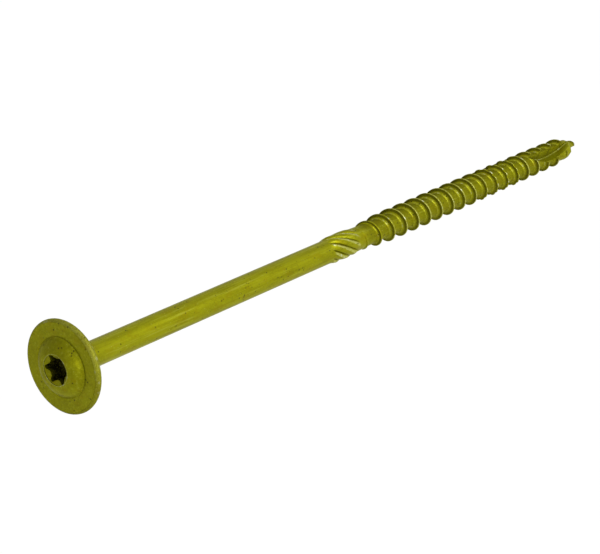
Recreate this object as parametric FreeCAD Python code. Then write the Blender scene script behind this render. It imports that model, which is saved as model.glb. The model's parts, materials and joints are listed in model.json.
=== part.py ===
"""Washer-head construction screw, lying on a flat surface as it comes to rest.

One piece of steel: a round flange head with a low dome and a six-lobe socket, a short neck,
a plain shank, a ring of slanted milling ribs, a coarse right-hand thread and a cut point.
Lengths are millimetres. The screw is built along +X from the bearing face under its head
and is turned at the end so that its flange rim and its last thread crests touch one plane.
"""
import FreeCAD
import Part
import math
import os

V = FreeCAD.Vector

# Lengths along the axis, from the bearing face under the head
length = 200.0
thread_length = 99.6
rib_length = 10.6
rib_gap = 2.6

# Head
flange_radius = 10.5
flange_thickness = 1.75
rim_round = 0.65
dome_radius = 6.7
dome_height = 1.75
dome_bulge = 0.24
neck_radius = 4.6
neck_length = 5.0

# Six-lobe socket, size 40
lobe_count = 6
socket_across_lobes = 6.75
socket_across_ridges = 4.85
socket_lobe_round = 0.55
socket_depth = 3.7
socket_lead_in = 0.42
socket_mouth_gap = 0.06
socket_lip = 0.15
socket_floor_drop = 0.7
socket_floor_rise = 0.4
socket_turn = 27.0

# Shank, core and ribs
shank_radius = 2.9
core_radius = 2.65
shoulder_length = 1.3
rib_count = 9
rib_crest = 0.42
rib_depth = 0.26
rib_lead = 40.5
rib_turn = 117.8889
rib_steep_share = 0.2
rib_fade_in = 2.6
rib_fade_out = 3.6
rib_end_rise = 0.12
rib_top_gap = 0.02
rib_steps = 6

# Thread
thread_radius = 3.95
thread_pitch = 5.133
thread_phase = 167.0
crest_width = 0.34
flank_angle = 19.0
root_overlap = 0.35
run_in = 12.0
first_share = 0.12
end_taper = 46.0
end_crest_drop = 0.45
end_fall = 1.75
end_fall_power = 1.6
point_length = 8.0
notch_from = 52.0
notch_to = 24.0
notch_depth = 0.16
notch_per_turn = 9
thread_end_gap = 1.9
plain_steps = 8
notch_steps = 4

# Cut point
flute_wheel = 15.0
flute_centre = 16.3
flute_past_axis = 0.5
flute_turn = 21.0
flute_open = 68.0
beak_length = 3.3
beak_half = 0.6
beak_lean = 3.0
beak_rise = 3.6
beak_turn = 147.0
point_round = 1.6
point_edge = 1.472
point_bow_length = 1.152
point_bow_radius = 0.992

# Cutters stand this far out of the metal, and joined solids reach this far into each other
clear = 1.0
flute_margin = 1.05
seat = 0.05

# Fineness of the mesh that finds where the screw touches the surface
contact_mesh = 0.02


def at(x, radius, angle):
    """Point at station x, a radius from the axis and an angle in degrees from +Z towards -Y."""
    turn = math.radians(angle)
    return V(x, -radius * math.sin(turn), radius * math.cos(turn))


def revolve(points_and_arcs):
    """Solid of revolution about X of a closed outline given as edges in the XZ plane."""
    wire = Part.Wire(points_and_arcs)
    return Part.Face(wire).revolve(V(0, 0, 0), V(1, 0, 0), 360)


def flat(x, radius):
    """Point of an outline in the XZ plane."""
    return V(x, 0, radius)


def lines(points):
    """Straight edges from point to point."""
    return [Part.makeLine(points[i], points[i + 1]) for i in range(len(points) - 1)]


def arc(start, middle, end):
    """Arc through three points."""
    return Part.Arc(start, middle, end).toShape()


def head():
    """Flange with a fully rounded rim, the low dome on its front and the neck behind it."""
    front = -flange_thickness
    top = front - dome_height
    mouth = socket_across_lobes / 2.0 + socket_mouth_gap
    crown = flat(top, mouth + socket_lip)
    foot = flat(front, dome_radius)
    middle = flat((front + top) / 2.0 - dome_bulge, (dome_radius + crown.z) / 2.0 + dome_bulge)
    face_edge = flat(front, flange_radius - rim_round)
    seat_edge = flat(0, flange_radius - rim_round)
    outline = [seat_edge, flat(0, neck_radius), flat(neck_length, shank_radius)]
    outline += [flat(neck_length, 0), flat(top, 0), crown]
    edges = lines(outline)
    edges.append(arc(crown, middle, foot))
    edges += lines([foot, face_edge])
    edges.append(arc(face_edge, flat(front / 2.0, flange_radius), seat_edge))
    return revolve(edges)


def lobe_outline():
    """Closed six-lobe outline in the YZ plane, lobes and ridges meeting tangentially."""
    lobe_at = socket_across_lobes / 2.0 - socket_lobe_round
    ridge = socket_across_ridges / 2.0
    step = 360.0 / lobe_count
    half = math.cos(math.radians(step / 2.0))
    top = socket_lobe_round ** 2 - lobe_at ** 2 - ridge ** 2 + 2 * lobe_at * ridge * half
    ridge_round = top / (2 * (ridge - lobe_at * half - socket_lobe_round))
    ridge_at = ridge + ridge_round
    edges = []
    for index in range(lobe_count):
        turn = socket_turn + step * index
        lobe_centre = at(0, lobe_at, turn)
        joints = []
        for side in (-1, 1):
            way = at(0, ridge_at, turn + side * step / 2.0) - lobe_centre
            joints.append(lobe_centre + way.normalize() * socket_lobe_round)
        edges.append(arc(joints[0], at(0, socket_across_lobes / 2.0, turn), joints[1]))
        next_centre = at(0, lobe_at, turn + step)
        way = at(0, ridge_at, turn + step / 2.0) - next_centre
        following = next_centre + way.normalize() * socket_lobe_round
        edges.append(arc(joints[1], at(0, ridge, turn + step / 2.0), following))
    return Part.Wire(edges)


def socket():
    """Six-lobe socket with a conical lead-in and a shallow conical floor."""
    top = -flange_thickness - dome_height
    bottom = top + socket_depth
    star = Part.Face(lobe_outline())
    star.translate(V(top - clear, 0, 0))
    star = star.extrude(V(bottom + socket_floor_drop + clear - top, 0, 0))
    wide = socket_across_lobes / 2.0 + clear
    outline = [flat(top - clear, 0), flat(top - clear, wide), flat(bottom - socket_floor_rise, wide)]
    outline += [flat(bottom + socket_floor_drop, 0), flat(top - clear, 0)]
    limit = revolve(lines(outline))
    mouth = socket_across_lobes / 2.0 + socket_mouth_gap
    inner = socket_across_ridges / 2.0
    lead = [flat(top - clear, 0), flat(top - clear, mouth), flat(top, mouth)]
    lead += [flat(top + socket_lead_in, inner), flat(top + socket_lead_in, 0), flat(top - clear, 0)]
    return star.common(limit).fuse(revolve(lines(lead)))


def thread_start():
    """Station where the thread begins."""
    return length - thread_length


def rib_end():
    """Station where the ribs end."""
    return thread_start() - rib_gap


def core_at(x):
    """Radius of the core at a station."""
    into = (x - (length - end_taper)) / end_taper
    if into <= 0:
        return core_radius
    return core_radius - end_crest_drop * into


def body():
    """Shank, shoulder and core down to the rounded point."""
    ribs_begin = rib_end() - rib_length
    nose = length - point_length
    start = flat(neck_length - clear, 0)
    edge = flat(length - point_round, point_edge)
    outline = [start, flat(neck_length - clear, shank_radius), flat(ribs_begin, shank_radius)]
    outline += [flat(ribs_begin + shoulder_length, core_radius), flat(length - end_taper, core_radius)]
    outline += [flat(nose, core_at(nose)), edge]
    middle = flat(edge.x + point_bow_length, point_bow_radius)
    end = flat(length, 0)
    return revolve(lines(outline) + [arc(edge, middle, end)] + lines([end, start]))


def rib_section(x):
    """Saw-tooth outline of the ribs at a station, turned by the lead of the ribs."""
    step = 360.0 / rib_count
    low = core_radius - rib_depth
    high = shank_radius + rib_crest
    turn = rib_turn + 360.0 * (x - rib_end()) / rib_lead
    points = []
    for index in range(rib_count):
        base = turn + step * index
        points.append(at(x, low, base))
        points.append(at(x, high, base + step * (1.0 - rib_steep_share)))
    points.append(points[0])
    return Part.makePolygon(points)


def ribs():
    """Ring of slanted saw-tooth ribs, faded in and out by a double cone."""
    first = rib_end() - rib_length
    sections = [rib_section(first + rib_length * index / rib_steps) for index in range(rib_steps + 1)]
    twisted = Part.makeLoft(sections, True, False)
    top = shank_radius + rib_crest + rib_top_gap
    outline = [flat(first, 0), flat(first, shank_radius - seat), flat(first + rib_fade_in, top)]
    outline += [flat(rib_end() - rib_fade_out, top), flat(rib_end(), core_radius + rib_end_rise)]
    outline += [flat(rib_end(), 0), flat(first, 0)]
    return twisted.common(revolve(lines(outline)))


def crest_at(x):
    """Radius of the thread crest at a station, low at both ends of the thread."""
    grown = min(1.0, max(0.0, (x - thread_start()) / run_in))
    grown = first_share + (1.0 - first_share) * math.sin(math.pi / 2.0 * grown)
    radius = core_radius + (thread_radius - core_radius) * grown
    into = min(1.0, max(0.0, (x - (length - end_taper)) / end_taper))
    radius -= end_crest_drop * into
    last = max(0.0, (x - (length - point_length)) / point_length)
    return radius - end_fall * last ** end_fall_power


def notch_at(x, angle):
    """Depth of the small notches worn into the crest of some turns."""
    if x < length - notch_from or x > length - notch_to:
        return 0.0
    return notch_depth * (0.5 - 0.5 * math.cos(math.radians(angle * notch_per_turn))) ** 2


def thread_angles():
    """Angles of the thread's spline points, one list for each whole turn."""
    first = thread_phase + 360.0 * thread_start() / thread_pitch
    last = thread_phase + 360.0 * (length - thread_end_gap) / thread_pitch
    turns = []
    for number in range(int((last - first) / 360.0)):
        begin = first + 360.0 * number
        middle = thread_pitch * (begin + 180.0 - thread_phase) / 360.0
        steps = plain_steps
        if length - notch_from - thread_pitch < middle < length - notch_to + thread_pitch:
            steps = notch_steps * notch_per_turn
        turns.append([begin + 360.0 * index / steps for index in range(steps + 1)])
    return turns


def thread_curve(side, rooted, turns):
    """Spline along one corner of the thread section, cut into whole turns."""
    angles = [angle for turn in turns for angle in turn[:-1]] + [turns[-1][-1]]
    points = []
    for angle in angles:
        x = thread_pitch * (angle - thread_phase) / 360.0
        crest = crest_at(x) - notch_at(x, angle)
        root = core_at(x) - root_overlap
        half = crest_width / 2.0
        radius = crest
        if rooted:
            half += (crest_at(x) - root) * math.tan(math.radians(flank_angle))
            radius = root
        points.append(at(x + side * half, radius, angle))
    curve = Part.BSplineCurve()
    curve.interpolate(Points=points, Parameters=angles)
    pieces = []
    for turn in turns:
        piece = curve.copy()
        piece.segment(turn[0], turn[-1])
        pieces.append(piece.toShape())
    return pieces


def thread():
    """Right-hand thread as a closed strip of ruled faces, one set for each turn."""
    turns = thread_angles()
    corners = []
    for side, rooted in ((-1, True), (-1, False), (1, False), (1, True)):
        corners.append(thread_curve(side, rooted, turns))
    faces = []
    for number in range(4):
        for one, two in zip(corners[number], corners[(number + 1) % 4]):
            faces.append(Part.makeRuledSurface(one, two))
    for ends in ([turn[0].firstVertex() for turn in corners], [turn[-1].lastVertex() for turn in corners]):
        spots = [end.Point for end in ends]
        faces.append(Part.Face(Part.makePolygon(spots + spots[:1])))
    shell = Part.makeShell(faces)
    shell.sewShape()
    solid = Part.makeSolid(Part.Shell(shell.Faces))
    if solid.Volume < 0:
        solid.reverse()
    return solid


def flute():
    """Wheel-shaped cutter of the flute: one flat radial wall and one hollow wall."""
    thick = thread_radius + flute_margin
    shrink = thick / math.tan(math.radians(flute_open))
    wheel = Part.makeCone(flute_wheel, flute_wheel - shrink, thick, V(0, 0, 0), V(0, -1, 0))
    wheel.translate(V(length - flute_centre, 0, flute_wheel - flute_past_axis))
    wheel.rotate(V(0, 0, 0), V(1, 0, 0), flute_turn)
    return wheel


def beak():
    """Block that takes away one side of the last few millimetres, leaving a beak."""
    far = flange_radius + clear
    back = length - beak_length
    top = back - beak_lean
    outline = [V(back, 0, beak_half), V(top, 0, beak_half + beak_rise), V(top, 0, far)]
    outline += [V(length + clear, 0, far), V(length + clear, 0, beak_half), V(back, 0, beak_half)]
    block = Part.Face(Part.makePolygon(outline)).extrude(V(0, 2 * far, 0))
    block.translate(V(0, -far, 0))
    block.rotate(V(0, 0, 0), V(1, 0, 0), beak_turn)
    return block


def rest_tilt():
    """Angle in degrees by which the lying screw dips towards its point."""
    rim_x = -flange_thickness / 2.0
    lowest = 90.0
    step = thread_pitch / 4.0
    count = int(thread_length / step)
    for index in range(count):
        x = thread_start() + step * index
        dip = math.degrees(math.atan2(flange_radius - crest_at(x), x - rim_x))
        lowest = min(lowest, dip)
    return lowest


def lay_down(solid):
    """Tilt the screw and put the middle of its footprint at the origin, with Z zero underneath."""
    solid.rotate(V(0, 0, 0), V(0, 1, 0), rest_tilt())
    spots = solid.tessellate(contact_mesh)[0]
    ends = [spot.x for spot in spots]
    solid.translate(V(-(min(ends) + max(ends)) / 2.0, 0, -min(spot.z for spot in spots)))
    return solid


def screw():
    """The whole screw, laid down."""
    solid = body().fuse(head())
    solid = solid.fuse(ribs())
    solid = solid.fuse(thread())
    solid = solid.cut(socket())
    solid = solid.cut(flute())
    solid = solid.cut(beak())
    return lay_down(solid)


os.makedirs("parts", exist_ok=True)
shape = screw()
shape.exportStep("parts/screw.step")
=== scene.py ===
"""Dresses the lying washer-head construction screw and sets its studio.

The screw is one piece of coated steel. Its head and ribbed shank are one stack of rings, its
threaded end is one turned profile, and both stand for the solid of the frame.
"""
import json
import logging
import math
from dataclasses import dataclass
from enum import Enum
from typing import Any, Callable, Iterable, Optional, Union

import bmesh
import bpy
from mathutils import Matrix, Vector


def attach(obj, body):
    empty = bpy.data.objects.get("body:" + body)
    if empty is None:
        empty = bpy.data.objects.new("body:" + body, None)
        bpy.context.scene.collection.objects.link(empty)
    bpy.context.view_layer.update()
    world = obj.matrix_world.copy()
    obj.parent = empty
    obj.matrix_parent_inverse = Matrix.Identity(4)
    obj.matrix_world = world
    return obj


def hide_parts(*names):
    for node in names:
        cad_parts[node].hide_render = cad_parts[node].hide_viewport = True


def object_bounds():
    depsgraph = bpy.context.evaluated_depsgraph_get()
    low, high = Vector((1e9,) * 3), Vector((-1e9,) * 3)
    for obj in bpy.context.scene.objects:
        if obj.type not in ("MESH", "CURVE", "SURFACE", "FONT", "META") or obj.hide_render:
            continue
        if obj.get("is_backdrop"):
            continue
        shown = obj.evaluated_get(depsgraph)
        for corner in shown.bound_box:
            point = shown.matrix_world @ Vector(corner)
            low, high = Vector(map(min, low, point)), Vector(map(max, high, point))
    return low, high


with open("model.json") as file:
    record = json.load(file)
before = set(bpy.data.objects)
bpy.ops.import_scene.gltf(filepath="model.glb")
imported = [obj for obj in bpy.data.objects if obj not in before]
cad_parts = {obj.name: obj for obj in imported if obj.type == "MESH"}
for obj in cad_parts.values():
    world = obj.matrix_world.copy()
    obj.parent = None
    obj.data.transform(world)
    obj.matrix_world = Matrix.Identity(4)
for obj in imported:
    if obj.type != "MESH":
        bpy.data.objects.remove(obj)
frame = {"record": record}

CAD_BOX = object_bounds()
LOG = logging.getLogger("construction_screw")
MM = 0.001
TAU = 2.0 * math.pi

Number = Union[int, float]
Pair = tuple[float, float]
RadiusRule = Callable[[float], float]


class Region(Enum):
    """Point attributes that tell the coating where it is on the screw, where painted shade lies and
    where painted highlights and paler wear lie.
    """

    CREST = "crest"
    # Painted shade inside the socket.
    SOCKET_SHADE = "socket_shade"
    # Painted shade in the rib grooves, between the thread's turns and on the head's and neck's upper
    # side.
    SHADE = "shade"
    # Painted highlights, mixed with some paler wear.
    HIGHLIGHT_AND_WEAR = "highlight_and_wear"


def blend(low: float, high: float, value: float) -> float:
    """Rises smoothly from 0 at low to 1 at high."""
    share = min(1.0, max(0.0, (value - low) / (high - low)))
    return share * share * (3.0 - 2.0 * share)


def share_between(low: float, high: float, value: float) -> float:
    """Rises in a straight line from 0 at low to 1 at high."""
    return min(1.0, max(0.0, (value - low) / (high - low)))


def band(rise: Pair, fall: Pair, value: float) -> float:
    """Rises smoothly from 0 to 1 over one span and falls back over another."""
    return blend(*rise, value) * (1.0 - blend(*fall, value))


def spot(x: float, radius: float, angle: float) -> Vector:
    """Point at a station, a radius and an angle in radians from +Z towards -Y."""
    return Vector((x, -radius * math.sin(angle), radius * math.cos(angle)))


def angle_of(point: Vector) -> float:
    """Angle of a point round the screw's axis, in radians from +Z towards -Y."""
    return math.atan2(-point.y, point.z)


def radius_of(point: Vector) -> float:
    """Distance of a point from the screw's axis."""
    return math.hypot(point.y, point.z)


@dataclass(frozen=True)
class ScrewSizes:
    """Driving sizes of the dressed screw in millimetres.

    Stations run along the screw from the bearing face under its head. Most sizes are those of its
    solid. Length and flange stay a hair inside it, and the ribs, the thread's turn and the point
    lie nearer to the real one's.
    """

    length: float = 199.98
    thread_length: float = 101.75
    rib_length: float = 11.3
    rib_gap: float = 0.35
    flange_radius: float = 10.484
    flange_thickness: float = 1.75
    rim_round: float = 0.65
    dome_radius: float = 6.7
    dome_height: float = 1.75
    neck_radius: float = 4.6
    neck_length: float = 5.0
    across_lobes: float = 6.75
    across_ridges: float = 4.85
    lobe_round: float = 0.55
    socket_depth: float = 3.7
    socket_turn: float = 27.0
    shank_radius: float = 2.9
    collar_radius: float = 2.93
    collar_taper: float = 8.0
    core_radius: float = 2.65
    thread_radius: float = 3.92
    thread_pitch: float = 5.133
    thread_turn: float = 276.4
    end_taper: float = 46.0
    end_drop: float = 0.45
    point_length: float = 5.1
    point_step: float = 0.9
    point_radius: float = 1.88
    point_round: float = 2.2
    point_edge: float = 1.47

    @property
    def thread_start(self) -> float:
        """Station where the thread begins."""
        return self.length - self.thread_length

    @property
    def rib_end(self) -> float:
        """Station where the ribs end."""
        return self.thread_start - self.rib_gap

    @property
    def rib_start(self) -> float:
        """Station where the ribs begin."""
        return self.rib_end - self.rib_length

    @property
    def head_top(self) -> float:
        """Station of the ring round the socket's mouth."""
        return -self.flange_thickness - self.dome_height

    def core_at(self, x: float) -> float:
        """Radius of the core at a station: thick at the collar, slim towards the point.

        Args:
            x: Station on the screw.

        Returns:
            The radius without the thread.
        """
        collar = 1.0 - share_between(self.rib_end, self.rib_end + self.collar_taper, x)
        into = share_between(self.length - self.end_taper, self.length, x)
        thicker = (self.collar_radius - self.core_radius) * collar
        return self.core_radius + thicker - self.end_drop * into


SIZES = ScrewSizes()


@dataclass(frozen=True)
class Seat:
    """Where the screw lies: its axis and bearing face, read from the frame's mounts."""

    turn: Matrix

    @classmethod
    def from_record(cls, record: dict[str, Any]) -> "Seat":
        """Reads the seat from the drive socket's mount, which lies on the axis.

        Args:
            record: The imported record, with its mounts in metres.

        Returns:
            The matrix from screw millimetres to the row frame in metres.
        """
        mount = next(m for m in record["mounts"] if m["name"] == "drive_socket")
        along = -Vector(mount["axis"]).normalized()
        across = Vector((0.0, 1.0, 0.0))
        upward = along.cross(across)
        origin = Vector(mount["pos_m"]) - along * SIZES.head_top * MM
        turn = Matrix((along, across, upward)).transposed().to_4x4()
        return cls(Matrix.Translation(origin) @ turn @ Matrix.Scale(MM, 4))


class MeshPiece:
    """A bmesh in screw millimetres that becomes one object of the scene."""

    def __init__(self, name: str) -> None:
        """Starts an empty mesh.

        Args:
            name: The name of the finished piece.
        """
        self.name = name
        self.bm = bmesh.new()
        self.layers = {region: self.bm.verts.layers.float.new(region.value) for region in Region}

    def mark(self, region: Region, rule: Callable[[Vector], float]) -> None:
        """Writes a point attribute.

        Args:
            region: The attribute to write.
            rule: Gives its value at a point of the screw.
        """
        layer = self.layers[region]
        for vert in self.bm.verts:
            vert[layer] = rule(vert.co)

    def finish(self, seat: Seat, sharp_degrees: float) -> bpy.types.Object:
        """Places the mesh in the row frame and makes the object.

        Args:
            seat: Where the screw lies.
            sharp_degrees: Edges bent more than this stay sharp.

        Returns:
            The finished object, at the origin and unscaled.
        """
        bmesh.ops.recalc_face_normals(self.bm, faces=self.bm.faces)
        bmesh.ops.transform(self.bm, matrix=seat.turn, verts=self.bm.verts)
        mesh = bpy.data.meshes.new(self.name)
        self.bm.to_mesh(mesh)
        self.bm.free()
        return dress_smooth(self.name, mesh, sharp_degrees)


def dress_smooth(name: str, mesh: bpy.types.Mesh, sharp_degrees: float) -> bpy.types.Object:
    """Links a mesh as a smooth object.

    Args:
        name: The object's name.
        mesh: Its finished mesh.
        sharp_degrees: Edges bent more than this stay sharp.

    Returns:
        The linked object.
    """
    mesh.polygons.foreach_set("use_smooth", [True] * len(mesh.polygons))
    mesh.set_sharp_from_angle(angle=math.radians(sharp_degrees))
    piece = bpy.data.objects.new(name, mesh)
    bpy.context.scene.collection.objects.link(piece)
    return piece


class RingStack(MeshPiece):
    """A closed surface grown ring by ring along the screw's axis."""

    def __init__(self, name: str, segments: int) -> None:
        """Starts the stack.

        Args:
            name: The name of the finished piece.
            segments: Points on each ring.
        """
        super().__init__(name)
        self.segments = segments
        self.edges: list[bmesh.types.BMEdge] = []

    def begin(self, x: float, radius: float) -> None:
        """Makes the first ring with its cap.

        Args:
            x: Station of the ring.
            radius: Its radius.
        """
        made = bmesh.ops.create_circle(self.bm, cap_ends=True, radius=radius, segments=self.segments)
        for vert in made["verts"]:
            vert.co = spot(x, radius, math.atan2(vert.co.y, vert.co.x))
        self.edges = list(self.bm.edges)

    def extend(self, x: float, rule: RadiusRule, turn: float = 0.0) -> None:
        """Adds a ring.

        Args:
            x: Station of the new ring.
            rule: Gives its radius at an angle.
            turn: Angle in radians by which the ring's points move on from the last ring's.
        """
        made = bmesh.ops.extrude_edge_only(self.bm, edges=self.edges)["geom"]
        self.edges = [item for item in made if isinstance(item, bmesh.types.BMEdge)]
        for vert in (item for item in made if isinstance(item, bmesh.types.BMVert)):
            angle = angle_of(vert.co) + turn
            vert.co = spot(x, rule(angle), angle)

    def round(self, x: float, radius: float) -> None:
        """Adds a plain round ring."""
        self.extend(x, lambda angle: radius)

    def close(self) -> None:
        """Fills the last ring."""
        bmesh.ops.contextual_create(self.bm, geom=self.edges)


@dataclass(frozen=True)
class SixLobeSocket:
    """Drive socket: a star of six round lobes with a conical lead-in and floor."""

    sizes: ScrewSizes = SIZES
    mouth_gap: float = 0.06
    mouth_step: float = 0.25
    lead_in: float = 0.5
    lead_steps: int = 6
    wall_steps: int = 9
    floor_drop: float = 0.7
    floor_shares: tuple[float, ...] = (0.92, 0.7, 0.4, 0.12)

    def outline(self, angle: float) -> float:
        """Radius of the star at an angle.

        Args:
            angle: Angle round the axis in radians.

        Returns:
            The wall's distance from the axis.
        """
        sizes = self.sizes
        lobe_at = sizes.across_lobes / 2.0 - sizes.lobe_round
        ridge = sizes.across_ridges / 2.0
        half = math.cos(TAU / 12.0)
        top = sizes.lobe_round ** 2 - lobe_at ** 2 - ridge ** 2 + 2.0 * lobe_at * ridge * half
        ridge_round = top / (2.0 * (ridge - lobe_at * half - sizes.lobe_round))
        ridge_at = ridge + ridge_round
        sector = TAU / 6.0
        off = (angle - math.radians(sizes.socket_turn)) % sector
        off = min(off, sector - off)
        to_ridge = sector / 2.0 - off
        reach = ridge_round ** 2 - (ridge_at * math.sin(to_ridge)) ** 2
        meeting = self.meeting(lobe_at, ridge_at)
        joint = math.atan2(meeting.y, meeting.x)
        if off > joint and reach > 0.0:
            return ridge_at * math.cos(to_ridge) - math.sqrt(reach)
        reach = sizes.lobe_round ** 2 - (lobe_at * math.sin(off)) ** 2
        return lobe_at * math.cos(off) + math.sqrt(reach)

    def meeting(self, lobe_at: float, ridge_at: float) -> Vector:
        """Point where the arcs of lobe and ridge meet, along and off the lobe's middle."""
        way = Vector((ridge_at * math.cos(TAU / 12.0) - lobe_at, ridge_at * math.sin(TAU / 12.0)))
        return Vector((lobe_at, 0.0)) + way.normalized() * self.sizes.lobe_round

    @property
    def mouth(self) -> float:
        """Radius of the mouth's edge."""
        return self.sizes.across_lobes / 2.0 + self.mouth_gap

    def wall_rule(self, depth: float) -> RadiusRule:
        """Radius rule of the wall at a depth below the mouth.

        Args:
            depth: Depth below the mouth's edge.

        Returns:
            The wider of the star and the lead-in cone at each angle.
        """
        narrow = self.sizes.across_ridges / 2.0
        into = share_between(self.mouth_step, self.mouth_step + self.lead_in, depth)
        cone = self.mouth - (self.mouth - narrow) * into
        return lambda angle: max(self.outline(angle), cone)

    def grow(self, stack: RingStack) -> None:
        """Adds the lead-in, the wall and the floor to a stack that has reached the mouth.

        Args:
            stack: The stack, whose last ring is the mouth's edge.
        """
        top = self.sizes.head_top
        deep = self.sizes.socket_depth
        for index in range(self.lead_steps + 1):
            depth = self.mouth_step + self.lead_in * index / self.lead_steps
            stack.extend(top + depth, self.wall_rule(depth))
        lead_end = self.mouth_step + self.lead_in
        for index in range(1, self.wall_steps + 1):
            depth = lead_end + (deep - lead_end) * index / self.wall_steps
            stack.extend(top + depth, self.wall_rule(depth))
        for share in self.floor_shares:
            drop = self.floor_drop * (1.0 - share)
            stack.extend(top + deep + drop, lambda angle, share=share: self.outline(angle) * share)
        stack.close()


@dataclass(frozen=True)
class SlantedRibs:
    """Ring of saw-tooth ribs between the shank and the thread."""

    sizes: ScrewSizes = SIZES
    count: int = 8
    crest: float = 0.42
    floor: float = 2.5
    lead: float = 34.6
    turn: float = 134.0
    rise_share: float = 0.36
    land_share: float = 0.88
    land_fall: float = 0.14
    fade_in: float = 3.4
    fade_out: float = 2.8
    shoulder: float = 1.3
    rise_power: float = 0.8
    land_drop: float = 0.25
    steps: int = 36
    # Painted shade in the grooves and painted highlight on each rib's rising face.
    painted_shade: float = 0.85
    painted_shade_line: float = 0.07
    painted_shade_in: Pair = (0.2, 0.8)
    painted_shade_out: Pair = (0.1, 2.4)
    highlight_rise: Pair = (0.08, 0.2)
    highlight_width: float = 0.14
    highlight_fade: Pair = (0.0, 1.5)

    def tooth_share(self, angle: float, x: float) -> float:
        """Share of one rib's turn at an angle, 0 in the groove above the rib.

        Args:
            angle: Angle round the axis in radians.
            x: Station on the screw.

        Returns:
            The share, from 0 to 1.
        """
        step = TAU / self.count
        groove = math.radians(self.turn) + TAU * (x - self.sizes.rib_end) / self.lead
        return ((angle - groove) % step) / step

    def tooth(self, share: float) -> float:
        """Height of the rib's outline, 0 in the groove and 1 on the crest.

        Args:
            share: Share of the rib's turn.

        Returns:
            The share of the rib's height.
        """
        land = (share - self.rise_share) / (self.land_share - self.rise_share)
        if share < self.rise_share:
            return math.sin(TAU / 4.0 * share / self.rise_share) ** self.rise_power
        if share < self.land_share:
            return 1.0 - self.land_fall * land - self.land_drop * land ** 3
        low = 1.0 - self.land_fall - self.land_drop
        return low * (1.0 - blend(self.land_share, 1.0, share))

    def rule(self, x: float) -> RadiusRule:
        """Radius rule of the ribbed stretch at a station.

        Args:
            x: Station on the screw.

        Returns:
            The radius at each angle, faded in and out at the ends.
        """
        sizes = self.sizes
        along = share_between(sizes.rib_start, sizes.rib_end, x)
        into = blend(0.0, self.shoulder, x - sizes.rib_start)
        bottom = self.floor + (sizes.collar_radius - self.floor) * along
        low = sizes.shank_radius + (bottom - sizes.shank_radius) * into
        rising = share_between(0.0, self.fade_in, x - sizes.rib_start)
        high = sizes.shank_radius + self.crest * math.sin(TAU / 4.0 * rising)
        ending = blend(0.0, self.fade_out, sizes.rib_end - x)
        high = sizes.collar_radius + (high - sizes.collar_radius) * ending
        return lambda angle: low + (high - low) * self.tooth(self.tooth_share(angle, x))

    def grow(self, stack: RingStack) -> None:
        """Adds the ribbed stretch to a stack that has reached the ribs' end.

        Args:
            stack: The stack, growing from the thread towards the head.
        """
        step = self.sizes.rib_length / self.steps
        for index in range(1, self.steps + 1):
            x = self.sizes.rib_end - step * index
            stack.extend(x, self.rule(x), -TAU * step / self.lead)

    def groove(self, point: Vector) -> float:
        """How much painted shade a point gets in a rib's groove, from 0 to 1.

        Args:
            point: Point of the mesh in screw millimetres.

        Returns:
            The value, from 0 to 1.
        """
        from_start = point.x - self.sizes.rib_start
        to_end = self.sizes.rib_end - point.x
        if from_start <= 0.0 or to_end <= 0.0:
            return 0.0
        share = self.tooth_share(angle_of(point), point.x)
        ends = blend(*self.painted_shade_in, from_start) * blend(*self.painted_shade_out, to_end)
        after = 1.0 - blend(0.0, self.painted_shade_line, share)
        before = blend(self.land_share, 0.99, share)
        return self.painted_shade * ends * max(after, before)

    def painted_highlight(self, point: Vector) -> float:
        """How much painted highlight a point gets on a rib's rising face, from 0 to 1.

        Args:
            point: Point of the mesh in screw millimetres.

        Returns:
            The value, from 0 to 1.
        """
        from_start = point.x - self.sizes.rib_start
        to_end = self.sizes.rib_end - point.x
        if from_start <= 0.0 or to_end <= 0.0:
            return 0.0
        share = self.tooth_share(angle_of(point), point.x)
        ends = blend(*self.highlight_fade, from_start) * blend(*self.highlight_fade, to_end)
        fall = (self.rise_share, self.rise_share + self.highlight_width)
        return ends * band(self.highlight_rise, fall, share)


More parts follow.
